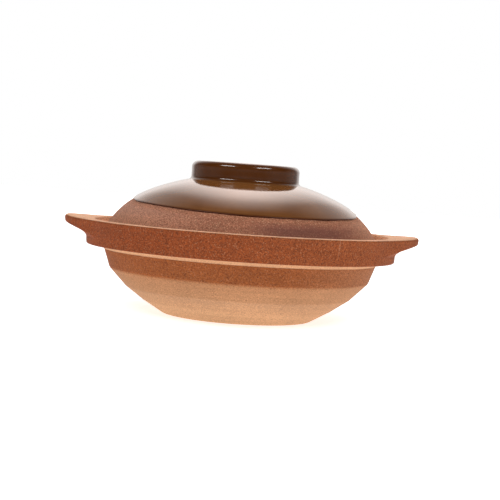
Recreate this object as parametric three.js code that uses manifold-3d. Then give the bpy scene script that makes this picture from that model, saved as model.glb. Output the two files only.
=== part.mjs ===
// A lidded clay casserole: a ridged bowl with a deep collar and two lugs, and a domed lid with a ring grip.
// Millimetres, +Z up, origin at the centre of the flat base, lugs along X.
import * as THREE from "three";
import { mergeVertices } from "three/addons/utils/BufferGeometryUtils.js";
import Module from "manifold-3d";

const wasm = await Module();
wasm.setup();

// Fineness of the turned shapes
const FACETS = 48; // flats round each turned piece
const CURVE_STEPS = 2; // straight steps in each curve of an outline, and twice as many in an arc
const INSIDE_STEPS = 6; // straight steps in the bowl's round inside
const LUG_STEPS = 4; // straight steps in each curve of a lug's side view
const PLAN_STEPS = 9; // straight steps from a lug's tip to its root, seen from above
const MERGE_DISTANCE = 0.001; // corners closer than this are one corner

// Clearances
const JOINT_GAP = 0.3; // luted joint between two clay pieces
const GLAZE_GAP = 0.15; // between a glaze coat and the clay under it
const SEAT_GAP = 0.3; // under the lid's foot
const LID_CLEARANCE = 3.3; // round the lid's foot, inside the collar

// Bowl
const POT_HEIGHT = 60; // table to rim
const BASE_RADIUS = 50.5;
const LOW_RIDGE_RADIUS = 64.3;
const LOW_RIDGE_HEIGHT = 8.3;
const MID_RIDGE_RADIUS = 76;
const MID_RIDGE_HEIGHT = 16.7;
const TOP_RIDGE_RADIUS = 87.3;
const TOP_RIDGE_HEIGHT = 28.4;
const MOUTH_RADIUS = 91.5; // outside of the bowl where the collar goes round it
const MOUTH_WALL = 7.2;
const FLOOR_THICKNESS = 8.5;
const FLOOR_RADIUS = 36; // flat part of the floor
const INNER_CURVE_TOP = 46; // height at which the inside becomes upright

// Collar
const COLLAR_REACH = 13.5; // from the bowl's mouth out to the rim's edge
const COLLAR_DEPTH = 16.6; // rim down to the collar's underside
const COLLAR_TAPER = 1.5; // how much narrower the collar's foot is than the rim
const COLLAR_CHAMFER = 2.8; // slip bead under the collar, against the bowl
const COLLAR_FOOT_ROUND = 1;
const LIP_RISE = 6.8; // rim above the lid's seat
const LIP_WIDTH = 6.3; // flat top of the rim
const LIP_SLOPE = 3.2; // how far the lip's inner side leans in on the way down
const RIM_OUTER_ROUND = 1.5;
const RIM_INNER_ROUND = 1.2;

// Lugs
const LUG_REACH = 15; // from the rim's edge out to the tip
const LUG_SPREAD = THREE.MathUtils.degToRad(30); // angle from the tip to where the swell leaves the rim
const LUG_ROOT_WIDTH = 84;
const LUG_ROOT_DEPTH = 11.6; // rim down to where the underside meets the collar
const LUG_TIP_RISE = 1.6; // tip above the rim
const LUG_TIP_THICKNESS = 5;
const LUG_NOSE = 2.3; // rounded end of the tip, seen from the side
const LUG_HOLLOW = 1.8; // how far out the underside's hollow bends

// Lid
const LID_RISE = 40.8; // foot to crown, on the clay
const LID_WALL = 6;
const SHOULDER_RADIUS = 55; // bend of the dome's side, seen from the front
const FOOT_LEAN = THREE.MathUtils.degToRad(25.5); // lean of the dome's side at its foot
const GRIP_RADIUS = 35.5;
const GRIP_WALL = 6.6;
const GRIP_RISE = 7.8; // ring above the crown
const GRIP_OUTER_ROUND = 3.3;
const GRIP_INNER_ROUND = 2.4;

// Glaze
const GLAZE = 0.6; // thickness of both coats
const GLAZE_FILLET = 2.4; // glaze gathered in the corners beside the ring
const GLAZE_LINE = 20.2; // height of the dipped edge above the lid's foot, on the axis
const GLAZE_TILT_FRONT = THREE.MathUtils.degToRad(2.7); // edge lower at the front
const GLAZE_TILT_RIGHT = THREE.MathUtils.degToRad(0.9); // edge lower at the right
const LINING_MARGIN = 3; // bare clay between the lining and the mouth

// Heights and radii that follow from the sizes above
const SEAT_HEIGHT = POT_HEIGHT - LIP_RISE;
const COLLAR_FOOT_HEIGHT = POT_HEIGHT - COLLAR_DEPTH;
const MOUTH_INNER_RADIUS = MOUTH_RADIUS - MOUTH_WALL;
const COLLAR_BORE = MOUTH_RADIUS + JOINT_GAP;
const RIM_RADIUS = MOUTH_RADIUS + COLLAR_REACH;
const COLLAR_FOOT_RADIUS = RIM_RADIUS - COLLAR_TAPER;
const LIP_INNER_RADIUS = RIM_RADIUS - LIP_WIDTH;
const GALLERY_RADIUS = LIP_INNER_RADIUS - LIP_SLOPE;
const LID_FOOT_RADIUS = GALLERY_RADIUS - LID_CLEARANCE;
const LUG_TIP_RADIUS = RIM_RADIUS + LUG_REACH;

// Sizes of the solids that only trim others: each is larger than what it trims
const LUG_TRIM_START = MOUTH_RADIUS / 2;
const LUG_TRIM_HEIGHT = 2 * POT_HEIGHT;
const GLAZE_TRIM_WIDTH = 4 * RIM_RADIUS;
const GLAZE_TRIM_HEIGHT = 2 * LID_RISE;

const RIGHT_ANGLE = Math.PI / 2;

// The dome is a shoulder arc that runs smoothly into a crown arc centred on the axis
const shoulder = new THREE.Vector2(
  LID_FOOT_RADIUS - SHOULDER_RADIUS * Math.cos(FOOT_LEAN),
  -SHOULDER_RADIUS * Math.sin(FOOT_LEAN),
);
const crown = crownCentre();
const CROWN_RADIUS = LID_RISE - crown.y;
const CROWN_START = shoulder.clone().sub(crown).angle();
const GRIP_TOP = LID_RISE + GRIP_RISE;
const GRIP_INNER_RADIUS = GRIP_RADIUS - GRIP_WALL;

// Materials: every piece has its own
function clay(colour) {
  return new THREE.MeshStandardMaterial({ color: colour, roughness: 0.85, metalness: 0 });
}

function glazeCoat(colour) {
  return new THREE.MeshStandardMaterial({ color: colour, roughness: 0.15, metalness: 0 });
}

function piece(name, geometry, material) {
  const mesh = new THREE.Mesh(geometry, material);
  mesh.name = name;
  return mesh;
}

// Turns an outline of radius and height about the Z axis
function turned(outline, steps = CURVE_STEPS) {
  return new THREE.LatheGeometry(outline.getPoints(steps), FACETS).rotateX(RIGHT_ANGLE);
}

// A closed solid for joining and cutting
function solidOf(geometry) {
  const bare = geometry.clone();
  bare.deleteAttribute("normal");
  bare.deleteAttribute("uv");
  const merged = mergeVertices(bare, MERGE_DISTANCE);
  const mesh = new wasm.Mesh({
    numProp: 3,
    vertProperties: new Float32Array(merged.getAttribute("position").array),
    triVerts: new Uint32Array(merged.getIndex().array),
  });
  return new wasm.Manifold(mesh);
}

function geometryOf(solid) {
  const mesh = solid.getMesh();
  const geometry = new THREE.BufferGeometry();
  geometry.setAttribute("position", new THREE.BufferAttribute(mesh.vertProperties, 3));
  geometry.setIndex(new THREE.BufferAttribute(mesh.triVerts, 1));
  geometry.computeVertexNormals();
  return geometry;
}

// Bowl: base, three ridges, mouth, then the round inside down to the floor
function bowl() {
  const outline = new THREE.Path();
  outline.moveTo(0, 0);
  outline.lineTo(BASE_RADIUS, 0);
  outline.lineTo(LOW_RIDGE_RADIUS, LOW_RIDGE_HEIGHT);
  outline.lineTo(MID_RIDGE_RADIUS, MID_RIDGE_HEIGHT);
  outline.lineTo(TOP_RIDGE_RADIUS, TOP_RIDGE_HEIGHT);
  outline.lineTo(MOUTH_RADIUS, COLLAR_FOOT_HEIGHT - COLLAR_CHAMFER);
  outline.lineTo(MOUTH_RADIUS, SEAT_HEIGHT);
  outline.lineTo(MOUTH_INNER_RADIUS, SEAT_HEIGHT);
  bowlInside(outline, 0, true);
  outline.lineTo(0, FLOOR_THICKNESS);
  return turned(outline);
}

// The bowl's round inside, brought in by an inset, from the wall down or from the floor up
function bowlInside(outline, inset, downward) {
  const across = MOUTH_INNER_RADIUS - FLOOR_RADIUS - inset;
  const depth = INNER_CURVE_TOP - FLOOR_THICKNESS - inset;
  const from = downward ? 0 : -RIGHT_ANGLE;
  const to = downward ? -RIGHT_ANGLE : 0;
  const curve = new THREE.EllipseCurve(FLOOR_RADIUS, INNER_CURVE_TOP, across, depth, from, to, downward);
  for (const point of curve.getPoints(INSIDE_STEPS)) {
    outline.lineTo(point.x, point.y);
  }
}

// Glaze lining of the bowl, floor to just under the mouth
function lining() {
  const top = SEAT_HEIGHT - LINING_MARGIN;
  const back = GLAZE_GAP;
  const face = GLAZE_GAP + GLAZE;
  const outline = new THREE.Path();
  outline.moveTo(0, FLOOR_THICKNESS + back);
  bowlInside(outline, back, false);
  outline.lineTo(MOUTH_INNER_RADIUS - back, top);
  outline.lineTo(MOUTH_INNER_RADIUS - face, top);
  bowlInside(outline, face, true);
  outline.lineTo(0, FLOOR_THICKNESS + face);
  return turned(outline);
}

// Collar: chamfered underside, leaning outer face, rounded rim, and the ledge that carries the lid
function collar() {
  const outline = new THREE.Path();
  outline.moveTo(COLLAR_BORE, COLLAR_FOOT_HEIGHT - COLLAR_CHAMFER);
  outline.lineTo(COLLAR_BORE + COLLAR_CHAMFER, COLLAR_FOOT_HEIGHT);
  roundCorner(outline, COLLAR_FOOT_RADIUS - COLLAR_FOOT_ROUND, COLLAR_FOOT_HEIGHT + COLLAR_FOOT_ROUND,
    COLLAR_FOOT_ROUND, -RIGHT_ANGLE);
  roundCorner(outline, RIM_RADIUS - RIM_OUTER_ROUND, POT_HEIGHT - RIM_OUTER_ROUND, RIM_OUTER_ROUND, 0);
  roundCorner(outline, LIP_INNER_RADIUS + RIM_INNER_ROUND, POT_HEIGHT - RIM_INNER_ROUND,
    RIM_INNER_ROUND, RIGHT_ANGLE);
  outline.lineTo(GALLERY_RADIUS, SEAT_HEIGHT);
  outline.lineTo(COLLAR_BORE, SEAT_HEIGHT);
  outline.lineTo(COLLAR_BORE, COLLAR_FOOT_HEIGHT - COLLAR_CHAMFER);
  return turned(outline);
}

// A quarter round that bulges outward, starting at the angle given
function roundCorner(outline, radius, height, round, from) {
  outline.absarc(radius, height, round, from, from + RIGHT_ANGLE, false);
}

// Radius of the collar's leaning outer face at a height
function collarFace(height) {
  const share = (height - COLLAR_FOOT_HEIGHT) / COLLAR_DEPTH;
  return COLLAR_FOOT_RADIUS + COLLAR_TAPER * share;
}

// Lug along +X: a turned band with the lug's side view, kept only inside its plan
function lug() {
  const band = solidOf(turned(lugSideView(), LUG_STEPS));
  const plan = new THREE.ExtrudeGeometry(lugPlan(), {
    depth: LUG_TRIM_HEIGHT,
    bevelEnabled: false,
  });
  return geometryOf(band.intersect(solidOf(plan)));
}

function lugSideView() {
  const rootBottom = POT_HEIGHT - LUG_ROOT_DEPTH;
  const tipTop = POT_HEIGHT + LUG_TIP_RISE;
  const tipBottom = tipTop - LUG_TIP_THICKNESS;
  const noseStart = LUG_TIP_RADIUS - LUG_NOSE;
  const noseMiddle = (tipTop + tipBottom) / 2;
  const root = collarFace(rootBottom) + JOINT_GAP;
  const outline = new THREE.Path();
  outline.moveTo(root, rootBottom);
  outline.quadraticCurveTo(root + LUG_HOLLOW, (rootBottom + tipBottom) / 2, noseStart, tipBottom);
  outline.quadraticCurveTo(LUG_TIP_RADIUS, tipBottom, LUG_TIP_RADIUS, noseMiddle);
  outline.quadraticCurveTo(LUG_TIP_RADIUS, tipTop, noseStart, tipTop);
  outline.lineTo(RIM_RADIUS + JOINT_GAP, POT_HEIGHT);
  outline.lineTo(root, rootBottom);
  return outline;
}

// Lug seen from above: a smooth swell out of the rim, with its root well inside the collar
function lugPlan() {
  const rootHalf = LUG_ROOT_WIDTH / 2;
  const rootAngle = Math.asin(rootHalf / RIM_RADIUS);
  const shape = new THREE.Shape();
  shape.moveTo(LUG_TRIM_START, -rootHalf);
  for (let step = -PLAN_STEPS; step <= PLAN_STEPS; step += 1) {
    const angle = (rootAngle * step) / PLAN_STEPS;
    const swell = Math.cos((RIGHT_ANGLE * angle) / LUG_SPREAD) ** 2;
    const reach = RIM_RADIUS + LUG_REACH * swell;
    shape.lineTo(reach * Math.cos(angle), reach * Math.sin(angle));
  }
  shape.lineTo(LUG_TRIM_START, rootHalf);
  shape.closePath();
  return shape;
}

// Centre of the crown arc that meets the shoulder arc smoothly and tops out at the lid's rise
function crownCentre() {
  const shoulderTop = LID_RISE - SHOULDER_RADIUS;
  const height = (shoulderTop ** 2 - shoulder.lengthSq()) / (2 * (shoulderTop - shoulder.y));
  return new THREE.Vector2(0, height);
}

// Angle on the crown arc, grown by an offset, at which it has the radius given
function crownAngle(radius, offset) {
  return Math.acos(radius / (CROWN_RADIUS + offset));
}

function crownArc(outline, offset, from, to) {
  outline.absarc(crown.x, crown.y, CROWN_RADIUS + offset, from, to, from > to);
}

function shoulderArc(outline, offset, from, to) {
  outline.absarc(shoulder.x, shoulder.y, SHOULDER_RADIUS + offset, from, to, from > to);
}

// Lid: foot, dome, and an even wall inside
function dome() {
  const innerLean = Math.asin(-shoulder.y / (SHOULDER_RADIUS - LID_WALL));
  const outline = new THREE.Path();
  outline.moveTo(0, LID_RISE - LID_WALL);
  crownArc(outline, -LID_WALL, RIGHT_ANGLE, CROWN_START);
  shoulderArc(outline, -LID_WALL, CROWN_START, innerLean);
  shoulderArc(outline, 0, FOOT_LEAN, CROWN_START);
  crownArc(outline, 0, CROWN_START, RIGHT_ANGLE);
  return turned(outline);
}

// Ring grip, seated on the crown
function gripRing() {
  const innerFoot = crownAngle(GRIP_INNER_RADIUS, JOINT_GAP);
  const outline = new THREE.Path();
  outline.moveTo(GRIP_INNER_RADIUS, crown.y + (CROWN_RADIUS + JOINT_GAP) * Math.sin(innerFoot));
  crownArc(outline, JOINT_GAP, innerFoot, crownAngle(GRIP_RADIUS, JOINT_GAP));
  roundCorner(outline, GRIP_RADIUS - GRIP_OUTER_ROUND, GRIP_TOP - GRIP_OUTER_ROUND, GRIP_OUTER_ROUND, 0);
  roundCorner(outline, GRIP_INNER_RADIUS + GRIP_INNER_ROUND, GRIP_TOP - GRIP_INNER_ROUND,
    GRIP_INNER_ROUND, RIGHT_ANGLE);
  outline.closePath();
  return turned(outline);
}

// Back of the lid's glaze, against the clay, from the axis out
function glazeBack(outline) {
  outline.moveTo(0, LID_RISE + GLAZE_GAP);
  crownArc(outline, GLAZE_GAP, RIGHT_ANGLE, crownAngle(GRIP_INNER_RADIUS - GLAZE_GAP, GLAZE_GAP));
  outline.absarc(GRIP_INNER_RADIUS + GRIP_INNER_ROUND, GRIP_TOP - GRIP_INNER_ROUND,
    GRIP_INNER_ROUND + GLAZE_GAP, Math.PI, RIGHT_ANGLE, true);
  outline.absarc(GRIP_RADIUS - GRIP_OUTER_ROUND, GRIP_TOP - GRIP_OUTER_ROUND,
    GRIP_OUTER_ROUND + GLAZE_GAP, RIGHT_ANGLE, 0, true);
  crownArc(outline, GLAZE_GAP, crownAngle(GRIP_RADIUS + GLAZE_GAP, GLAZE_GAP), CROWN_START);
  shoulderArc(outline, GLAZE_GAP, CROWN_START, FOOT_LEAN);
}

// Face of the lid's glaze, from the dome up over the ring and in to the axis
function glazeFace(outline) {
  const face = GLAZE_GAP + GLAZE;
  const outer = glazeFillet(GRIP_RADIUS + face + GLAZE_FILLET, face);
  const inner = glazeFillet(GRIP_INNER_RADIUS - face - GLAZE_FILLET, face);
  const outerFoot = outer.clone().sub(crown).angle();
  const innerFoot = inner.clone().sub(crown).angle();
  shoulderArc(outline, face, FOOT_LEAN, CROWN_START);
  crownArc(outline, face, CROWN_START, outerFoot);
  outline.absarc(outer.x, outer.y, GLAZE_FILLET, outerFoot + Math.PI, Math.PI, true);
  roundCorner(outline, GRIP_RADIUS - GRIP_OUTER_ROUND, GRIP_TOP - GRIP_OUTER_ROUND,
    GRIP_OUTER_ROUND + face, 0);
  roundCorner(outline, GRIP_INNER_RADIUS + GRIP_INNER_ROUND, GRIP_TOP - GRIP_INNER_ROUND,
    GRIP_INNER_ROUND + face, RIGHT_ANGLE);
  outline.absarc(inner.x, inner.y, GLAZE_FILLET, 0, innerFoot - Math.PI, true);
  crownArc(outline, face, innerFoot, RIGHT_ANGLE);
}

// Centre of the fillet that rests on the crown arc at a radius
function glazeFillet(radius, offset) {
  const reach = CROWN_RADIUS + offset + GLAZE_FILLET;
  return new THREE.Vector2(radius, crown.y + Math.sqrt(reach ** 2 - radius ** 2));
}

// Lid glaze: one coat over dome and ring, trimmed along the dipped line
function lidGlaze() {
  const outline = new THREE.Path();
  glazeBack(outline);
  glazeFace(outline);
  const below = new THREE.BoxGeometry(GLAZE_TRIM_WIDTH, GLAZE_TRIM_WIDTH, GLAZE_TRIM_HEIGHT);
  below.translate(0, 0, -GLAZE_TRIM_HEIGHT / 2);
  below.rotateX(GLAZE_TILT_FRONT);
  below.rotateY(GLAZE_TILT_RIGHT);
  below.translate(0, 0, GLAZE_LINE);
  return geometryOf(solidOf(turned(outline)).subtract(solidOf(below)));
}

// Pot: bowl, lining, collar and the two lugs
function pot() {
  const group = new THREE.Group();
  const right = piece("lug_handle_right", lug(), clay("#9a5a38"));
  const left = piece("lug_handle_left", lug(), clay("#9a5a38"));
  left.rotation.z = Math.PI;
  group.add(
    piece("pot_bowl", bowl(), clay("#b9805a")),
    piece("pot_inner_glaze", lining(), glazeCoat("#4a2410")),
    piece("rim_collar", collar(), clay("#93502f")),
    right,
    left,
  );
  return group;
}

// Lid, modelled from its foot up and set down on its seat
function lid() {
  const group = new THREE.Group();
  group.position.z = SEAT_HEIGHT + SEAT_GAP;
  group.add(
    piece("lid_dome", dome(), clay("#945e4a")),
    piece("lid_grip_ring", gripRing(), clay("#945e4a")),
    piece("lid_glaze", lidGlaze(), glazeCoat("#4a2410")),
  );
  return group;
}

const casserole = new THREE.Group();
casserole.add(pot(), lid());

export default casserole;
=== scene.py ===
import math

import bpy
import numpy as np
from mathutils import Matrix, Vector


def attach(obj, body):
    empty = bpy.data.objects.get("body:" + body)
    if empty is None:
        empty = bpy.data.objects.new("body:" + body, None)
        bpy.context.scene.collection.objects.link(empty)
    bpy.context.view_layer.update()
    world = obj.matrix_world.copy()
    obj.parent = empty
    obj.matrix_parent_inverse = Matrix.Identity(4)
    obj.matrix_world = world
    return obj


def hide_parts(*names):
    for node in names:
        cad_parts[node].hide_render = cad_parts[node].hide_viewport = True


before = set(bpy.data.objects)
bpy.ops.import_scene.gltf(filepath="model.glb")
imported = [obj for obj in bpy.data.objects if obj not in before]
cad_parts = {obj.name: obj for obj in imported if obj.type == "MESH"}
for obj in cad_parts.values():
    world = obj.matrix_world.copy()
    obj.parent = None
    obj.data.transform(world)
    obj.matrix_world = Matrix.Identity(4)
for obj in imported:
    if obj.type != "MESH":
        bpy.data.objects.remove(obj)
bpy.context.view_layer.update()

MM = 0.001  # metres

# Sizes that the CAD model has too, in millimetres and radians
POT_HEIGHT = 60.0
BASE_RADIUS = 50.5
LOW_RIDGE = (64.3, 8.3)  # radius and height
MID_RIDGE = (76, 16.7)
TOP_RIDGE = (87.3, 28.4)
MOUTH_RADIUS = 91.5
MOUTH_INNER_RADIUS = 84.3
FLOOR_HEIGHT = 8.5
FLOOR_RADIUS = 36
INNER_CURVE_TOP = 46
SEAT_HEIGHT = 53.2
COLLAR_BORE = 91.8
COLLAR_DEPTH = 16.6
COLLAR_TAPER = 1.5
COLLAR_FOOT_HEIGHT = POT_HEIGHT - COLLAR_DEPTH
COLLAR_FOOT_RADIUS = 103.5
COLLAR_CHAMFER = 2.8
RIM_RADIUS = 105.0
LIP_INNER_RADIUS = 98.7
GALLERY_RADIUS = 95.5
LUG_SPREAD = math.radians(30)
LUG_ROOT_HEIGHT = 48.4
LUG_TIP_RISE = 1.6
LUG_TIP_BOTTOM = 56.6
LID_BASE = 53.5
LID_RISE = 40.8
LID_WALL = 6.0
SHOULDER_RADIUS = 55.0
FOOT_LEAN = math.radians(25.5)
LID_FOOT_RADIUS = 92.2
GRIP_RADIUS = 35.5
GRIP_INNER_RADIUS = 28.9
GRIP_RISE = 7.8
GRIP_TOP = LID_BASE + LID_RISE + GRIP_RISE
GRIP_OUTER_ROUND = 3.3
GRIP_INNER_ROUND = 2.4
GLAZE = 0.75  # face of both coats above the clay: the CAD model's gap and coat together
GLAZE_FILLET = 2.4
GLAZE_LINE = LID_BASE + 20.2
GLAZE_TILT_FRONT = math.radians(2.7)
GLAZE_TILT_RIGHT = math.radians(0.9)

# Sizes of the dressed model alone, in millimetres where nothing else is said
BASE_ROUND = 2.5
RIDGE_ROUNDS = (8, 7, 4)  # low, middle and top ridge
MOUTH_ROUND = 0.5
MOUTH_INNER_ROUND = 1.2
LINING_BACK = 0.1  # gap between the lining and the clay behind it
LINING_TOP = 49.8
LINING_EDGE_HEIGHT = 49.85
LINING_EDGE_ROUND = 0.35
LINING_FLOOR_RADIUS = 16  # flat part of the lining's face
LINING_RISE = 2 / 3  # power of the face's curve, less than 1 for a gentler rise from the floor
RIM_FLAT_RADIUS = 101.8
COLLAR_ROUND = 1.0
LIP_ROUND = 1.6
GALLERY_ROUND = 2.0
COLLAR_INNER_LIFT = 0.6
LUG_REACH = 14.9  # a little short of the CAD model's, to stay inside its box
LUG_MIN_SHARE = 0.002  # below this share of its reach the lug is left out
LUG_TOP_CURVE = 1.5  # powers of the lug's share: its top rises late, its underside early
LUG_UNDER_CURVE = 0.62
LUG_HOLLOW = 1.9
LUG_HOLLOW_LIFT = 0.2
LUG_SETBACK = 0.4  # how far the underside's end lies behind the tip
LUG_LOW_ROUND = (0.3, 1.5)  # at the root, and how much more at the tip
RIM_ROUND = (1.5, 0.5)
LID_INNER_TRIM = 6  # how far the lid's inside and outside stop short of the foot
LID_OUTER_TRIM = 1.6
LID_FOOT_FLARE = 1.7
LID_FOOT_INNER_ROUND = 1.0
LID_FOOT_OUTER_ROUND = 1.2
BEND_EASE = 16.0  # distance over which the crown's bend becomes the shoulder's, to each side
GLAZE_BACK = 0.06  # gap under the lid's coat, on the dome and on the ring
GLAZE_CLEAR = 0.15
BEAD_RADIUS = 0.36
BEAD_RISE = 0.04
BEAD_TURN = 165  # degrees of the bead's round
BEAD_MIDDLE = 0.5  # distances back from the glaze's edge
BEAD_START = 0.9
BEAD_END = 2.2
COAT_START = 2.5
GLAZE_WAVES = ((0.12, 5, 0.6), (0.07, 11, 2.0), (0.05, 17, 0.0))  # height, count round the lid, shift
GLAZE_SIDE_RISES = ((0, 1.3), (math.pi, 0.9))  # azimuth and height of the edge's rise at each side
GLAZE_RISE_SPREAD = 0.33  # radians
EDGE_GUESS = 80.0  # start of the search for the glaze's edge, and its number of rounds
EDGE_TRIES = 12
UNEVEN_RADIUS = 40  # nearer to the axis than this, the unevenness fades
COLLAR_UNEVEN = 0.4  # share of the other pieces' unevenness

# Fineness of the meshes
BOWL_TURNS, LINING_TURNS, COLLAR_TURNS, LID_TURNS, GLAZE_TURNS = 240, 200, 480, 300, 360
BOWL_STEPS, LINING_STEPS = 40, 64
BOWL_FLOOR_STEP, LINING_FLOOR_STEP = 3, 4
LUG_UNDER_STEPS, LUG_POINTS = 24, 84

# The lid's dome: a crown arc centred on the axis, easing into a tighter shoulder arc
LID_TOP = LID_BASE + LID_RISE
SHOULDER_R = LID_FOOT_RADIUS - SHOULDER_RADIUS * math.cos(FOOT_LEAN)
SHOULDER_Z = LID_BASE - SHOULDER_RADIUS * math.sin(FOOT_LEAN)
CROWN_GAP = LID_TOP - SHOULDER_RADIUS
CROWN_Z = (CROWN_GAP**2 - SHOULDER_R**2 - SHOULDER_Z**2) / (2 * (CROWN_GAP - SHOULDER_Z))
CROWN_RADIUS = LID_TOP - CROWN_Z
CROWN_START = math.atan2(SHOULDER_Z - CROWN_Z, SHOULDER_R)
CROWN_LENGTH = CROWN_RADIUS * (math.pi / 2 - CROWN_START)
DOME_LENGTH = CROWN_LENGTH + SHOULDER_RADIUS * (CROWN_START - FOOT_LEAN)


class Dome:
    """The lid's outer line by distance along it from the crown: radius, height and lean of its normal."""

    def __init__(self, steps=3000):
        self.along = np.linspace(0, DOME_LENGTH, steps)
        gap = DOME_LENGTH / (steps - 1)
        share = np.clip((self.along - CROWN_LENGTH + BEND_EASE) / (2 * BEND_EASE), 0, 1)
        share = share * share * (3 - 2 * share)
        bend = (1 - share) / CROWN_RADIUS + share / SHOULDER_RADIUS
        self.lean = math.pi / 2 - np.r_[0, np.cumsum((bend[1:] + bend[:-1]) / 2 * gap)]
        middle = (self.lean[1:] + self.lean[:-1]) / 2
        radius = np.r_[0, np.cumsum(np.sin(middle) * gap)]
        height = LID_TOP - np.r_[0, np.cumsum(np.cos(middle) * gap)]
        self.radius = radius * LID_FOOT_RADIUS / radius[-1]
        self.height = LID_TOP - (LID_TOP - height) * LID_RISE / (LID_TOP - height[-1])

    def line(self, offset, start, end, steps):
        """Points at an offset from the dome, between two distances from the crown."""
        at = np.linspace(start, end, steps + 1)
        lean = np.interp(at, self.along, self.lean)
        return np.column_stack([np.interp(at, self.along, self.radius) + offset * np.cos(lean),
                                np.interp(at, self.along, self.height) + offset * np.sin(lean)])

    def at_radius(self, radius):
        return float(np.interp(radius, self.radius, self.along))

    def at_height(self, height):
        return float(np.interp(-height, -self.height, self.along))


DOME = Dome()


# Outlines, as arrays of (radius, height)
def arc(r, z, radius, start, end, steps):
    angles = np.radians(np.linspace(start, end, steps + 1))
    return np.column_stack([r + radius * np.cos(angles), z + radius * np.sin(angles)])


def rounded(corners, step=1.2, arc_steps=6):
    """A line through corners (radius, height, rounding), with rounded corners and no long steps."""
    nearly_straight = math.radians(89)
    most_of_half = 0.49
    points = [np.array(corners[0][:2], float)]
    for before, corner, after in zip(corners, corners[1:], corners[2:]):
        p, round_ = np.array(corner[:2], float), corner[2]
        a, b = np.array(before[:2]) - p, np.array(after[:2]) - p
        la, lb = np.linalg.norm(a), np.linalg.norm(b)
        a, b = a / la, b / lb
        half = math.acos(max(-1, min(1, float(a @ b)))) / 2
        if round_ <= 0 or half > nearly_straight:
            points.append(p)
            continue
        cut = min(round_ / math.tan(half), most_of_half * la, most_of_half * lb)
        radius = cut * math.tan(half)
        centre = p + (a + b) / np.linalg.norm(a + b) * radius / math.sin(half)
        start, end = p + a * cut - centre, p + b * cut - centre
        t0 = math.atan2(start[1], start[0])
        turn = (math.atan2(end[1], end[0]) - t0 + math.pi) % (2 * math.pi) - math.pi
        for k in range(arc_steps + 1):
            t = t0 + turn * k / arc_steps
            points.append(centre + radius * np.array([math.cos(t), math.sin(t)]))
    points.append(np.array(corners[-1][:2], float))
    return subdivided(points, step)


def subdivided(points, step):
    """The same line with extra points, so that no piece of it is longer than the step."""
    out = [points[0]]
    for a, b in zip(points, points[1:]):
        count = max(1, int(math.ceil(np.linalg.norm(b - a) / step)))
        out.extend(a + (b - a) * k / count for k in range(1, count + 1))
    return np.array(out)


def resampled(points, count):
    """The same line with count points at even distances."""
    points = np.asarray(points, float)
    lengths = np.r_[0, np.cumsum(np.linalg.norm(np.diff(points, axis=0), axis=1))]
    at = np.linspace(0, lengths[-1], count)
    return np.column_stack([np.interp(at, lengths, points[:, k]) for k in range(2)])


# Meshes
def unevenness(angle, height):
    """Small out-of-round of a hand-turned piece, in millimetres."""
    oval = 0.10 * np.sin(2 * angle + 0.7)
    lobes = 0.06 * np.sin(3 * angle + 0.05 * height)
    ripple = 0.03 * np.sin(7 * angle + 2.1)
    throwing = 0.03 * np.sin(0.9 * height + 1.3 * np.sin(angle))
    return oval + lobes + ripple + throwing


def new_object(name, vertices, faces):
    mesh = bpy.data.meshes.new(name)
    mesh.from_pydata(vertices, [], faces)
    thing = bpy.data.objects.new(name, mesh)
    bpy.context.scene.collection.objects.link(thing)
    return thing


def skin(name, sections, closed=False, uneven=1.0):
    """A mesh through sections[azimuth][point] = (radius, height), joined all the way round."""
    sections = np.asarray(sections, float)
    turns, count = sections.shape[:2]
    angle = np.linspace(0, 2 * math.pi, turns, endpoint=False)[:, None]
    radius, height = sections[:, :, 0], sections[:, :, 1]
    on_axis = radius < 1e-6
    shifted = radius + uneven * unevenness(angle, height) * np.clip(radius / UNEVEN_RADIUS, 0, 1)
    radius = np.where(on_axis, 0, shifted)
    vertices = np.stack([radius * np.cos(angle), radius * np.sin(angle), height], -1) * MM
    index = np.arange(turns * count).reshape(turns, count)
    for j in (0, count - 1):
        if on_axis[:, j].all():
            index[:, j] = index[0, j]
    faces = []
    last = count if closed else count - 1
    for i in range(turns):
        n = (i + 1) % turns
        for j in range(last):
            k = (j + 1) % count
            face = [index[i, j], index[n, j], index[n, k], index[i, k]]
            faces.append(list(dict.fromkeys(int(v) for v in face)))
    used = sorted({v for f in faces for v in f})
    place = {v: k for k, v in enumerate(used)}
    piece = new_object(name, vertices.reshape(-1, 3)[used].tolist(), [[place[v] for v in f] for f in faces])
    piece.data.polygons.foreach_set("use_smooth", [True] * len(piece.data.polygons))
    piece.data.update()
    return piece


def turned(name, outline, turns):
    return skin(name, np.repeat(np.asarray(outline)[None], turns, axis=0))


def bowl_inside(t, inset):
    """The bowl's round inside, brought in by an inset; t is 0 at the floor, a quarter turn at the wall."""
    across = MOUTH_INNER_RADIUS - FLOOR_RADIUS - inset
    depth = INNER_CURVE_TOP - FLOOR_HEIGHT - inset
    return np.column_stack([FLOOR_RADIUS + across * np.sin(t), INNER_CURVE_TOP - depth * np.cos(t)])


def make_bowl():
    ridges = [(*ridge, size) for ridge, size in zip((LOW_RIDGE, MID_RIDGE, TOP_RIDGE), RIDGE_ROUNDS)]
    outside = rounded([
        (0, 0, 0), (BASE_RADIUS, 0, BASE_ROUND), *ridges,
        (MOUTH_RADIUS, COLLAR_FOOT_HEIGHT - COLLAR_CHAMFER, MOUTH_ROUND),
        (MOUTH_RADIUS, SEAT_HEIGHT, MOUTH_ROUND), (MOUTH_INNER_RADIUS, SEAT_HEIGHT, MOUTH_INNER_ROUND),
        (MOUTH_INNER_RADIUS, INNER_CURVE_TOP, 0)])
    inside = bowl_inside(np.linspace(math.pi / 2, 0, BOWL_STEPS), 0)
    floor = subdivided([inside[-1], np.array([0.0, FLOOR_HEIGHT])], BOWL_FLOOR_STEP)
    return turned("pot_bowl_clay", np.vstack([outside, inside[1:], floor[1:]]), BOWL_TURNS)


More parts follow.
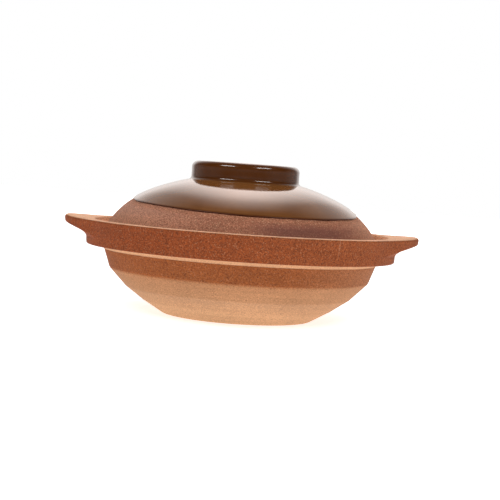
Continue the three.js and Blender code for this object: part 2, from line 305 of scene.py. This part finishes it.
def make_lining():
    """The glaze in the bowl. Its face rises from the floor more gently than the clay behind it."""
    back_radius = MOUTH_INNER_RADIUS - LINING_BACK
    back = np.vstack([[[0, FLOOR_HEIGHT + LINING_BACK]],
                      bowl_inside(np.linspace(0, math.pi / 2, BOWL_STEPS), LINING_BACK),
                      [[back_radius, LINING_TOP]]])
    edge = arc(back_radius - LINING_EDGE_ROUND, LINING_EDGE_HEIGHT, LINING_EDGE_ROUND, 10, 170, 6)
    t = np.linspace(math.pi / 2, 0, LINING_STEPS)
    face_floor = FLOOR_HEIGHT + GLAZE
    across = MOUTH_INNER_RADIUS - GLAZE - LINING_FLOOR_RADIUS
    wall = np.column_stack([LINING_FLOOR_RADIUS + across * np.sin(t) ** LINING_RISE,
                            INNER_CURVE_TOP - (INNER_CURVE_TOP - face_floor) * np.cos(t)])
    floor = subdivided([wall[-1], np.array([0.0, face_floor])], LINING_FLOOR_STEP)
    return turned("pot_glaze_lining", np.vstack([back, edge, wall, floor[1:]]), LINING_TURNS)


def lug_reach(angle):
    """Radius of the rim's outline, which swells into a lug at each side."""
    from_tip = abs((angle + math.pi / 2) % math.pi - math.pi / 2)
    if from_tip >= LUG_SPREAD:
        return RIM_RADIUS
    return RIM_RADIUS + LUG_REACH * math.cos(math.pi / 2 * from_tip / LUG_SPREAD) ** 2


def collar_face(height):
    """Radius of the collar's leaning outer face at a height."""
    return COLLAR_FOOT_RADIUS + COLLAR_TAPER * (height - COLLAR_FOOT_HEIGHT) / COLLAR_DEPTH


def collar_section(reach):
    """Outer face, lug and flat top of the collar, from the lug's root height up, at one azimuth."""
    share = (reach - RIM_RADIUS) / LUG_REACH
    top = POT_HEIGHT + LUG_TIP_RISE * share**LUG_TOP_CURVE
    root = np.array([collar_face(LUG_ROOT_HEIGHT), LUG_ROOT_HEIGHT])
    corners = [(*root, 0)]
    if share > LUG_MIN_SHARE:
        bottom = LUG_ROOT_HEIGHT + (LUG_TIP_BOTTOM - LUG_ROOT_HEIGHT) * share**LUG_UNDER_CURVE
        end = np.array([collar_face(bottom) + (LUG_REACH - LUG_SETBACK) * share, bottom])
        hollow = np.array([root[0] + LUG_HOLLOW * share, (root[1] + bottom) / 2 + LUG_HOLLOW_LIFT * share])
        t = np.linspace(0, 1, LUG_UNDER_STEPS)[:, None]
        under = (1 - t) ** 2 * root + 2 * t * (1 - t) * hollow + t**2 * end
        corners += [(*p, 0) for p in under[1:-1]]
        corners.append((*end, LUG_LOW_ROUND[0] + LUG_LOW_ROUND[1] * share))
    corners += [(reach, top, RIM_ROUND[0] + RIM_ROUND[1] * share), (RIM_FLAT_RADIUS, POT_HEIGHT, 0)]
    return resampled(rounded(corners, step=0.8, arc_steps=8), LUG_POINTS)


def make_collar():
    foot = rounded([
        (COLLAR_BORE, COLLAR_FOOT_HEIGHT - COLLAR_CHAMFER, 0),
        (COLLAR_BORE + COLLAR_CHAMFER, COLLAR_FOOT_HEIGHT, COLLAR_ROUND),
        (COLLAR_FOOT_RADIUS, COLLAR_FOOT_HEIGHT, COLLAR_ROUND),
        (collar_face(LUG_ROOT_HEIGHT), LUG_ROOT_HEIGHT, 0)])
    inner = rounded([
        (RIM_FLAT_RADIUS, POT_HEIGHT, 0), (LIP_INNER_RADIUS, POT_HEIGHT, LIP_ROUND),
        (GALLERY_RADIUS, SEAT_HEIGHT, GALLERY_ROUND), (COLLAR_BORE, SEAT_HEIGHT, 0),
        (COLLAR_BORE, COLLAR_FOOT_HEIGHT - COLLAR_CHAMFER + COLLAR_INNER_LIFT, 0)])
    sections = []
    for k in range(COLLAR_TURNS):
        lug = collar_section(lug_reach(2 * math.pi * k / COLLAR_TURNS))
        sections.append(np.vstack([foot[:-1], lug[:-1], inner]))
    return skin("rim_collar_with_lugs", sections, closed=True, uneven=COLLAR_UNEVEN)


def make_lid():
    inside = DOME.line(-LID_WALL, 0, DOME_LENGTH - LID_INNER_TRIM, 48)
    outside = DOME.line(0, DOME_LENGTH - LID_OUTER_TRIM, 0, 90)
    foot = rounded([
        (*inside[-1], 0), (inside[-1][0] + LID_FOOT_FLARE, LID_BASE, LID_FOOT_INNER_ROUND),
        (LID_FOOT_RADIUS, LID_BASE, LID_FOOT_OUTER_ROUND), (*outside[0], 0)])
    outline = np.vstack([inside, foot[1:-1], outside])
    outline[0, 0] = outline[-1, 0] = 0
    return turned("lid_dome_clay", outline, LID_TURNS)


def glaze_edge(angle):
    """Distance from the crown at which the dipped glaze ends."""
    wave = sum(height * math.sin(count * angle + shift) for height, count, shift in GLAZE_WAVES)
    for tip, rise in GLAZE_SIDE_RISES:
        from_tip = (angle - tip + math.pi) % (2 * math.pi) - math.pi
        wave += rise * math.exp(-((from_tip / GLAZE_RISE_SPREAD) ** 2))
    along = EDGE_GUESS
    for _ in range(EDGE_TRIES):
        radius = np.interp(along, DOME.along, DOME.radius)
        x, y = radius * math.cos(angle), radius * math.sin(angle)
        height = GLAZE_LINE + y * math.tan(GLAZE_TILT_FRONT) - x * math.tan(GLAZE_TILT_RIGHT) + wave
        along = DOME.at_height(height)
    return along


def fillet_centre(radius):
    """Centre of the glaze gathered in a corner beside the ring, at a radius."""
    reach = CROWN_RADIUS + GLAZE + GLAZE_FILLET
    return radius, CROWN_Z + math.sqrt(reach**2 - radius**2)


def ring_round(inner, grow, start, end, steps):
    """The ring's rounded inner or outer top edge, grown by the glaze's thickness."""
    size = GRIP_INNER_ROUND if inner else GRIP_OUTER_ROUND
    radius = GRIP_INNER_RADIUS + size if inner else GRIP_RADIUS - size
    return arc(radius, GRIP_TOP - size, size + grow, start, end, steps)


def crown_distance(lean):
    """Distance from the crown at which the crown arc's normal has a lean, in degrees."""
    return (90 - lean) * math.pi / 180 * CROWN_RADIUS


def glaze_over_ring():
    """Face of the glaze from the crown beside the ring, up over the ring and in to the axis."""
    outer = fillet_centre(GRIP_RADIUS + GLAZE + GLAZE_FILLET)
    inner = fillet_centre(GRIP_INNER_RADIUS - GLAZE - GLAZE_FILLET)
    outer_foot = math.degrees(math.atan2(outer[1] - CROWN_Z, outer[0]))
    inner_foot = math.degrees(math.atan2(inner[1] - CROWN_Z, inner[0]))
    wall = [np.array([GRIP_RADIUS + GLAZE, outer[1]]),
            np.array([GRIP_RADIUS + GLAZE, GRIP_TOP - GRIP_OUTER_ROUND])]
    return np.vstack([
        arc(*outer, GLAZE_FILLET, outer_foot + 180, 180, 12),
        subdivided(wall, 1.0)[1:],
        ring_round(False, GLAZE, 0, 90, 14)[1:],
        ring_round(True, GLAZE, 90, 180, 12),
        arc(*inner, GLAZE_FILLET, 0, inner_foot - 180, 10),
        DOME.line(GLAZE, crown_distance(inner_foot), 0, 14)[1:]]), outer_foot


def glaze_section(angle, over_ring, outer_foot):
    """The coat's whole outline at one azimuth: underside, bead at the dipped edge, and face."""
    edge = glaze_edge(angle)
    beneath = np.vstack([
        DOME.line(GLAZE_BACK, 0, DOME.at_radius(GRIP_INNER_RADIUS - GLAZE_CLEAR), 6),
        ring_round(True, GLAZE_CLEAR, 180, 90, 5),
        ring_round(False, GLAZE_CLEAR, 90, 0, 5),
        DOME.line(GLAZE_BACK, DOME.at_radius(GRIP_RADIUS + GLAZE_CLEAR), edge - BEAD_START, 16)])
    middle = DOME.line(GLAZE + BEAD_RISE - BEAD_RADIUS, edge - BEAD_MIDDLE, edge - BEAD_MIDDLE, 1)[0]
    lean = math.degrees(np.interp(edge, DOME.along, DOME.lean))
    bead = arc(*middle, BEAD_RADIUS, lean - BEAD_TURN, lean, 9)
    above = np.vstack([DOME.line(GLAZE + BEAD_RISE, edge - BEAD_START, edge - BEAD_END, 3)[:-1],
                       DOME.line(GLAZE, edge - COAT_START, crown_distance(outer_foot), 60)[:-1],
                       over_ring])
    outline = np.vstack([beneath, bead, above])
    outline[0, 0] = outline[-1, 0] = 0
    return outline


def make_lid_glaze():
    over_ring, outer_foot = glaze_over_ring()
    return skin("lid_glaze_coat", [glaze_section(2 * math.pi * k / GLAZE_TURNS, over_ring, outer_foot)
                                   for k in range(GLAZE_TURNS)])


# Materials
def srgb(r, g, b):
    """A colour written as in a picture, 0 to 255, as Blender's linear numbers."""
    def linear(v):
        v /= 255
        return v / 12.92 if v <= 0.04045 else ((v + 0.055) / 1.055) ** 2.4
    return linear(r), linear(g), linear(b), 1.0


class Nodes:
    """Short ways to add shader nodes to a material."""

    def __init__(self, name):
        self.material = bpy.data.materials.new(name)
        self.material.use_nodes = True
        self.tree = self.material.node_tree
        self.shader = self.tree.nodes["Principled BSDF"]

    def add(self, kind, inputs=None, **settings):
        node = self.tree.nodes.new(kind)
        for key, value in settings.items():
            setattr(node, key, value)
        for key, value in (inputs or {}).items():
            self.put(node.inputs[key], value)
        return node

    def put(self, socket, value):
        if isinstance(value, bpy.types.NodeSocket):
            self.tree.links.new(value, socket)
        else:
            socket.default_value = value

    def surface(self, inputs):
        for key, value in inputs.items():
            self.put(self.shader.inputs[key], value)

    def math(self, operation, a, b=0.0):
        return self.add("ShaderNodeMath", {0: a, 1: b}, operation=operation).outputs[0]

    def times(self, a, b):
        return self.math("MULTIPLY", a, b)

    def plus(self, a, b):
        return self.math("ADD", a, b)

    def minus(self, a, b):
        return self.math("SUBTRACT", a, b)

    def step(self, value, low, high):
        """Smoothly 0 at low and 1 at high, whichever of the two is larger."""
        ends = {"From Min": low, "From Max": high} if low < high else {
            "From Min": high, "From Max": low, "To Min": 1.0, "To Max": 0.0}
        node = self.add("ShaderNodeMapRange", {"Value": value, **ends}, interpolation_type="SMOOTHSTEP")
        return node.outputs["Result"]

    def spread(self, value, low, high):
        """A noise's usual range, 0.3 to 0.7, spread from low to high."""
        node = self.add("ShaderNodeMapRange", {"Value": value, "From Min": 0.3, "From Max": 0.7,
                                               "To Min": low, "To Max": high})
        return node.outputs["Result"]

    def share(self, value, low, high):
        """Evenly 0 at low and 1 at high."""
        node = self.add("ShaderNodeMapRange", {"Value": value, "From Min": low, "From Max": high})
        return node.outputs["Result"]

    def noise(self, vector, scale, detail=2.0, roughness=0.5):
        node = self.add("ShaderNodeTexNoise", {"Vector": vector, "Scale": scale, "Detail": detail,
                                               "Roughness": roughness})
        return node.outputs["Fac"]

    def mix(self, share, a, b, blend="MIX"):
        node = self.add("ShaderNodeMix", data_type="RGBA", blend_type=blend)
        for socket, value in ((node.inputs[0], share), (node.inputs[6], a), (node.inputs[7], b)):
            self.put(socket, value)
        return node.outputs[2]

    def ramp(self, value, stops):
        node = self.add("ShaderNodeValToRGB", {"Fac": value})
        elements = node.color_ramp.elements
        while len(elements) < len(stops):
            elements.new(0.5)
        for element, (place, colour) in zip(elements, stops):
            element.position = place
            element.color = colour
        return node.outputs["Color"]

    def moved(self, vector, distance):
        node = self.add("ShaderNodeVectorMath", {0: vector, 1: (distance,) * 3}, operation="ADD")
        return node.outputs[0]

    def bump(self, height, strength, distance):
        node = self.add("ShaderNodeBump", {"Height": height, "Strength": strength, "Distance": distance})
        return node.outputs[0]


class Place:
    """Where a point of the surface is, in millimetres, and which way it faces."""

    def __init__(self, n):
        coordinates = n.add("ShaderNodeTexCoord")
        self.point = n.add("ShaderNodeVectorMath", {0: coordinates.outputs["Object"], 1: (1 / MM,) * 3},
                           operation="MULTIPLY").outputs[0]
        self.x, self.y, self.z = n.add("ShaderNodeSeparateXYZ", {0: self.point}).outputs
        self.up = n.add("ShaderNodeSeparateXYZ", {0: coordinates.outputs["Normal"]}).outputs[2]
        flat = n.plus(n.times(self.x, self.x), n.times(self.y, self.y))
        self.radius = n.math("SQRT", flat)
        self.side = n.math("ARCTAN2", self.x, n.times(self.y, -1.0))
        self.drift = n.minus(n.noise(self.point, 0.03), 0.5)
        slope = n.plus(n.times(self.y, -math.tan(GLAZE_TILT_FRONT)),
                       n.times(self.x, math.tan(GLAZE_TILT_RIGHT)))
        self.above_glaze_line = n.minus(n.plus(self.z, slope), GLAZE_LINE)


SAND = srgb(232, 182, 142)
SOOT = srgb(84, 36, 14)
PIT = srgb(56, 24, 12)
SOOT_SHIFT = 40  # takes the dark grains' noise away from that of the sand
BAND_STRETCH = 0.02  # draws noise out into level bands
PIT_RARITY = 0.90  # share of the places for a pit that stay without one


def clay(name, tone, mottle, sand_share, soot_share):
    """Bare sandy clay: a tone of its own, with throwing bands, sand grains, dark grains and pits.

    The noises' scales are per millimetre.
    """
    n = Nodes(name)
    place = Place(n)
    colour, smooth = tone(n, place)
    level = n.add("ShaderNodeCombineXYZ", {0: n.times(place.x, BAND_STRETCH),
                                           1: n.times(place.y, BAND_STRETCH), 2: place.z}).outputs[0]
    bands = n.noise(level, 0.55)
    cloud = n.noise(place.point, 0.045, 3)
    grain = n.noise(place.point, 0.85, 3, 0.85)
    fine = n.noise(place.point, 2.1, 1)
    rough = n.minus(1.0, smooth)
    value = n.times(n.spread(cloud, 0.94, 1.06), n.spread(bands, 0.94, 1.06))
    swing = n.times(n.spread(grain, -mottle, mottle), rough)
    value = n.times(value, n.plus(swing, 1.0))
    value = n.times(value, n.spread(fine, 0.85, 1.15))
    grey = n.add("ShaderNodeCombineColor", {0: value, 1: value, 2: value}).outputs[0]
    colour = n.mix(1.0, colour, grey, "MULTIPLY")
    sand = n.step(n.noise(place.point, 1.3, 1), 0.60, 0.67)
    colour = n.mix(n.times(sand, n.times(rough, sand_share)), colour, SAND)
    soot = n.step(n.noise(n.moved(place.point, SOOT_SHIFT), 1.25, 1), 0.58, 0.65)
    colour = n.mix(n.times(soot, n.times(rough, soot_share)), colour, SOOT)
    cells = n.add("ShaderNodeTexVoronoi", {"Vector": place.point, "Scale": 0.16, "Randomness": 1.0})
    chance = n.add("ShaderNodeSeparateColor", {0: cells.outputs["Color"]}).outputs[0]
    pit = n.times(n.minus(1.0, n.step(cells.outputs["Distance"], 0.04, 0.11)),
                  n.math("GREATER_THAN", chance, PIT_RARITY))
    colour = n.mix(n.times(pit, 0.85), colour, PIT)
    relief = n.plus(n.times(grain, 0.55), n.times(fine, 0.25))
    relief = n.minus(n.plus(relief, n.times(bands, 0.35)), pit)
    n.surface({"Base Color": colour, "Roughness": n.spread(grain, 0.74, 0.92), "Specular IOR Level": 0.25,
               "Normal": n.bump(relief, 0.6, 0.00025)})
    return n.material


def bowl_tone(n, place):
    """Pale and smoother at the base, browner towards the collar, paler on the right flank."""
    height = n.plus(place.z, n.times(place.drift, 1.6))
    colour = n.ramp(n.share(height, 0, 55), [
        (0.0, srgb(212, 170, 130)), (0.14, srgb(208, 164, 124)), (0.17, srgb(198, 154, 116)),
        (0.29, srgb(196, 151, 113)), (0.32, srgb(188, 140, 101)), (0.49, srgb(184, 132, 92)),
        (0.53, srgb(160, 91, 48)), (0.70, srgb(156, 87, 44)), (1.0, srgb(164, 98, 56))])
    flank = n.times(n.step(place.x, 20, 90), 0.3)
    smooth = n.times(n.step(height, 30, 26), 0.45)
    return n.mix(flank, colour, srgb(200, 148, 108)), smooth


def collar_tone(n, place):
    """Red-brown face, paler to the right, pale slip bead under it, pale rim with painted light on its
    up-facing tops and down its inner slope, and a hairline seam.
    """
    height = n.plus(place.z, n.times(place.drift, 1.0))
    colour = n.ramp(n.share(height, 42, 62), [
        (0.0, srgb(136, 66, 30)), (0.3, srgb(142, 68, 30)), (0.75, srgb(140, 67, 30)),
        (1.0, srgb(148, 76, 39))])
    colour = n.mix(n.times(n.step(place.x, -60, 80), 0.4), colour, srgb(162, 90, 50))
    from_seam = n.times(n.math("ABSOLUTE", n.minus(place.side, 0.616)), place.radius)
    seam = n.times(n.step(from_seam, 0.42, 0.12), n.step(place.z, 46, 53))
    colour = n.mix(n.times(seam, 0.45), colour, srgb(206, 142, 106))
    # Up-facing tops of the rim and lugs: pale bare clay with painted light from above.
    top = n.step(place.up, 0.55, 0.92)
    colour = n.mix(top, colour, srgb(236, 182, 145))
    # Inner slope of the rim: painted light at the top, with painted shade darkening it towards its foot.
    inner_slope = n.times(n.step(place.radius, 99.6, 98.4), n.step(place.z, 50, 52))
    slope_light_to_shade = n.ramp(n.share(place.z, 53, 60), [(0.0, srgb(190, 118, 78)), (1.0, srgb(232, 172, 132))])
    colour = n.mix(inner_slope, colour, slope_light_to_shade)
    bead = n.times(n.step(place.radius, 97.5, 96.5), n.step(place.z, 45, 44))
    smooth = n.times(n.math("MAXIMUM", top, bead), 0.65)
    return n.mix(bead, colour, srgb(214, 162, 121)), smooth


def lid_tone(n, place):
    """Mauve-brown, tanner at both sides, lighter under the glaze, flashed purple on the front right, with
    painted light lifting the shade at its foot.
    """
    facing = n.step(n.math("ABSOLUTE", place.side), 3.0, 2.0)
    left = n.times(n.step(place.side, 0.0, -1.1), facing)
    colour = n.mix(left, srgb(163, 105, 80), srgb(183, 132, 109))
    right = n.times(n.step(place.side, 0.75, 1.2), facing)
    colour = n.mix(right, colour, srgb(198, 140, 110))
    side = n.plus(place.side, n.times(place.drift, 0.7))
    flash = n.times(n.step(side, -0.02, 0.42), n.step(side, 1.2, 0.8))
    low = n.step(n.plus(place.above_glaze_line, n.times(place.drift, 4)), -0.5, -6.0)
    flash = n.times(n.times(flash, low), 0.84)
    colour = n.mix(flash, colour, srgb(104, 58, 54))
    strip = n.times(n.step(place.above_glaze_line, -3.0, -1.4), 0.6)
    colour = n.mix(strip, colour, srgb(172, 114, 86))
    # Painted light: lifts the shade at the lid's foot, more on the left.
    foot = n.times(n.step(place.z, 69.0, 59.0), n.plus(n.times(left, 0.35), 0.2))
    return n.mix(foot, colour, srgb(198, 138, 106)), n.times(flash, 0.75)


def glaze(name):
    """Glossy brown glaze, with painted light on the lid's crown round the ring, painted shade on the ring,
    and darker where it ends in a bead.
    """
    n = Nodes(name)
    place = Place(n)
    cloud = n.noise(place.point, 0.05, 3)
    speck = n.noise(place.point, 0.8)
    colour = n.ramp(n.spread(cloud, 0.0, 1.0), [(0.0, srgb(110, 65, 27)), (1.0, srgb(123, 75, 33))])
    on_lid = n.math("GREATER_THAN", place.z, LID_BASE)
    # Painted light and reflection on the crown round the ring, where the ring blocks the light.
    crown_painted_light = n.times(n.step(place.radius, 54, 40), on_lid)
    colour = n.mix(n.times(crown_painted_light, 0.7), colour, srgb(140, 91, 49))
    # Painted shade on the ring, whose walls face the dim front.
    ring = n.times(n.step(place.radius, 38.4, 37.0), on_lid)
    colour = n.mix(ring, colour, srgb(86, 45, 13))
    edge = n.step(n.math("ABSOLUTE", n.minus(place.above_glaze_line, 0.1)), 1.8, 0.4)
    colour = n.mix(n.times(edge, 0.85), colour, srgb(58, 18, 3))
    colour = n.mix(n.times(n.step(speck, 0.62, 0.78), 0.12), colour, srgb(52, 22, 6))
    rough = n.plus(n.spread(cloud, 0.07, 0.12), n.times(ring, 0.05))
    rough = n.plus(rough, n.times(edge, 0.22))
    specular = n.minus(0.5, n.times(edge, 0.35))
    ripple = n.plus(n.noise(place.point, 0.08, 1), n.times(speck, 0.05))
    n.surface({"Base Color": colour, "Roughness": rough, "Specular IOR Level": specular, "IOR": 1.55,
               "Normal": n.bump(ripple, 0.03, 0.0006)})
    return n.material


def paint(piece, material):
    piece.data.materials.clear()
    piece.data.materials.append(material)


bowl_clay = clay("bowl_clay_bare", bowl_tone, mottle=0.46, sand_share=0.17, soot_share=0.44)
collar_clay = clay("collar_clay_fired", collar_tone, mottle=0.52, sand_share=0.17, soot_share=0.62)
lid_clay = clay("lid_clay_bare", lid_tone, mottle=0.50, sand_share=0.50, soot_share=0.40)
brown_glaze = glaze("lid_glaze_brown")

# Pieces
bowl = make_bowl()
lining = make_lining()
collar = make_collar()
dome = make_lid()
coat = make_lid_glaze()
for piece, body, slot, material, nodes in (
    (bowl, "pot", "bowl_clay", bowl_clay, ["pot_bowl"]),
    (lining, "pot", "brown_glaze", brown_glaze, ["pot_inner_glaze"]),
    (collar, "pot", "collar_clay", collar_clay, ["rim_collar", "lug_handle_left", "lug_handle_right"]),
    (dome, "lid", "lid_clay", lid_clay, ["lid_dome"]),
    (coat, "lid", "brown_glaze", brown_glaze, ["lid_glaze"]),
):
    paint(piece, material)
    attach(piece, body)
    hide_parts(*nodes)
paint(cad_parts["lid_grip_ring"], lid_clay)

# Studio, in metres
FLOOR_HALF = 4.0
FLOOR_COLOUR = (0.8, 0.8, 0.8, 1)
FLOOR_GLOW = 0.7
FAR_GLOW = 0.3  # added far from the pot, where the floor is the white background
FAR_SEEN = (0.9, 1.5)  # distances over which it comes in, for the camera and in reflections
FAR_REFLECTED = (1.8, 2.4)
TENT_RADIUS = 2.4
TENT_TURNS, TENT_RINGS = 48, 12
TENT_SIDE_LIFT = 0.35  # how much the sides count as overhead
TENT_TINT = (1, 0.95, 0.92, 1)
TENT_STOPS = ((-90, 0.05), (-10, 0.05), (6, 0.05), (16, 0.17), (24, 0.36), (32, 0.54), (40, 0.67),
              (56, 0.9), (72, 1.5), (90, 0.7))  # degrees from overhead to the back, and level of light
TENT_SCALE = 2.0  # the ramp holds levels up to this
TENT_SIDE_SHARE = 0.2  # light left at the sides
SPOT_TINT = (1, 0.86, 0.80, 1)
SPOT_LEVEL = 3.6
SPOT_HALF_WIDTH = 0.31
SIDE_GLOW = 0.2
LAMP_AZIMUTH, LAMP_ELEVATION, LAMP_DISTANCE = 44, 42, 1.2
LAMP_WIDTH, LAMP_HEIGHT, LAMP_POWER = 0.55, 0.18, 5.0
LAMP_AIM = Vector((0, 0, 0.06))
CAMERA_PLACE = (0.0065, -0.789, 0.092)
CAMERA_AIM = Vector((0.0065, 0, 0.045))
CAMERA_LENS, CAMERA_SENSOR = 84.0, 36.0
CAMERA_ROLL = math.radians(4.0)


def stage(name, vertices, faces, material):
    thing = new_object(name, vertices, faces)
    thing.data.materials.append(material)
    return thing


def make_floor():
    """A pale light table, which also lights the underside of the bowl."""
    n = Nodes("light_table")
    spot = n.add("ShaderNodeNewGeometry").outputs["Position"]
    away = n.add("ShaderNodeVectorMath", {0: spot}, operation="LENGTH").outputs["Value"]
    rays = n.add("ShaderNodeLightPath").outputs
    reflected = n.math("MAXIMUM", rays["Is Glossy Ray"], rays["Is Transmission Ray"])
    far = n.plus(n.times(n.step(away, *FAR_SEEN), rays["Is Camera Ray"]),
                 n.times(n.step(away, *FAR_REFLECTED), reflected))
    n.surface({"Base Color": FLOOR_COLOUR, "Roughness": 0.9, "Specular IOR Level": 0.0,
               "Emission Color": (1, 1, 1, 1),
               "Emission Strength": n.plus(n.times(far, FAR_GLOW), FLOOR_GLOW)})
    corners = [(x * FLOOR_HALF, y * FLOOR_HALF, 0) for x, y in ((-1, -1), (1, -1), (1, 1), (-1, 1))]
    stage("floor", corners, [(0, 1, 2, 3)], n.material)


def tilt_stop(degrees, level):
    grey = level / TENT_SCALE
    return (degrees + 90) / 180, (grey, grey, grey, 1)


def tent_cloth():
    """Light of the tent: brightest behind, with a warm spot in the middle of the back, and dim in front."""
    n = Nodes("light_tent")
    position = n.add("ShaderNodeNewGeometry").outputs["Position"]
    direction = n.add("ShaderNodeVectorMath", {0: position}, operation="NORMALIZE").outputs[0]
    across, along, rise = n.add("ShaderNodeSeparateXYZ", {0: direction}).outputs
    side_lift = n.times(across, TENT_SIDE_LIFT)
    lifted = n.math("SQRT", n.plus(n.times(rise, rise), n.times(side_lift, side_lift)))
    tilt = n.share(n.math("ARCTAN2", along, lifted), -math.pi / 2, math.pi / 2)
    backdrop = n.ramp(tilt, [tilt_stop(*stop) for stop in TENT_STOPS])
    aside = n.math("ABSOLUTE", across)
    spot_tilt = n.times(n.step(tilt, 0.515, 0.735), n.step(tilt, 0.93, 0.77))
    spot = n.times(spot_tilt, n.step(aside, SPOT_HALF_WIDTH, 0.0))
    middle = n.plus(n.times(n.step(aside, 0.72, 0.45), 1 - TENT_SIDE_SHARE), TENT_SIDE_SHARE)
    level = n.times(n.times(backdrop, TENT_SCALE), middle)
    level = n.plus(level, n.times(spot, SPOT_LEVEL))
    side_glow = n.times(n.step(aside, 0.55, 0.95), n.step(rise, 0.45, 0.05))
    level = n.plus(level, n.times(side_glow, SIDE_GLOW))
    n.surface({"Base Color": (0, 0, 0, 1), "Specular IOR Level": 0.0,
               "Emission Color": n.mix(spot, TENT_TINT, SPOT_TINT), "Emission Strength": level})
    return n.material


def make_tent():
    """A soft dome of light round the pot, not seen by the camera."""
    points = []
    for ring in range(TENT_RINGS + 1):
        e = math.pi / 2 * ring / TENT_RINGS
        for turn in range(TENT_TURNS):
            a = 2 * math.pi * turn / TENT_TURNS
            points.append((TENT_RADIUS * math.cos(e) * math.cos(a), TENT_RADIUS * math.cos(e) * math.sin(a),
                           TENT_RADIUS * math.sin(e)))
    faces = []
    for ring in range(TENT_RINGS):
        low, high = ring * TENT_TURNS, (ring + 1) * TENT_TURNS
        for turn in range(TENT_TURNS):
            after = (turn + 1) % TENT_TURNS
            faces.append((low + turn, low + after, high + after, high + turn))
    stage("light_tent", points, faces, tent_cloth()).visible_camera = False


def make_world():
    world = bpy.data.worlds.new("white_room")
    bpy.context.scene.world = world
    world.use_nodes = True
    world.node_tree.nodes["Background"].inputs["Color"].default_value = (1, 1, 1, 1)


def softbox(name, azimuth):
    """An area lamp aimed at the pot; azimuth 0 is at the camera's side, positive to its right."""
    lamp = bpy.data.lights.new(name, "AREA")
    lamp.shape, lamp.size, lamp.size_y, lamp.energy = "RECTANGLE", LAMP_WIDTH, LAMP_HEIGHT, LAMP_POWER
    a, e = math.radians(azimuth), math.radians(LAMP_ELEVATION)
    back = Vector((math.sin(a) * math.cos(e), -math.cos(a) * math.cos(e), math.sin(e)))
    lamp_object = bpy.data.objects.new(name, lamp)
    lamp_object.location = LAMP_AIM + back * LAMP_DISTANCE
    lamp_object.rotation_euler = (-back).to_track_quat("-Z", "Y").to_euler()
    bpy.context.scene.collection.objects.link(lamp_object)


def make_camera():
    """A camera at about the height of the lid's crown, rolled as in the photograph."""
    data = bpy.data.cameras.new("camera")
    data.lens, data.sensor_width = CAMERA_LENS, CAMERA_SENSOR
    camera = bpy.data.objects.new("camera", data)
    camera.location = CAMERA_PLACE
    look = (CAMERA_AIM - camera.location).to_track_quat("-Z", "Y").to_matrix().to_4x4()
    camera.rotation_euler = (look @ Matrix.Rotation(CAMERA_ROLL, 4, "Z")).to_euler()
    bpy.context.scene.collection.objects.link(camera)
    bpy.context.scene.camera = camera


make_floor()
make_tent()
make_world()
softbox("front_left", -LAMP_AZIMUTH)
softbox("front_right", LAMP_AZIMUTH)
make_camera()
bpy.context.scene.view_settings.view_transform = "Standard"
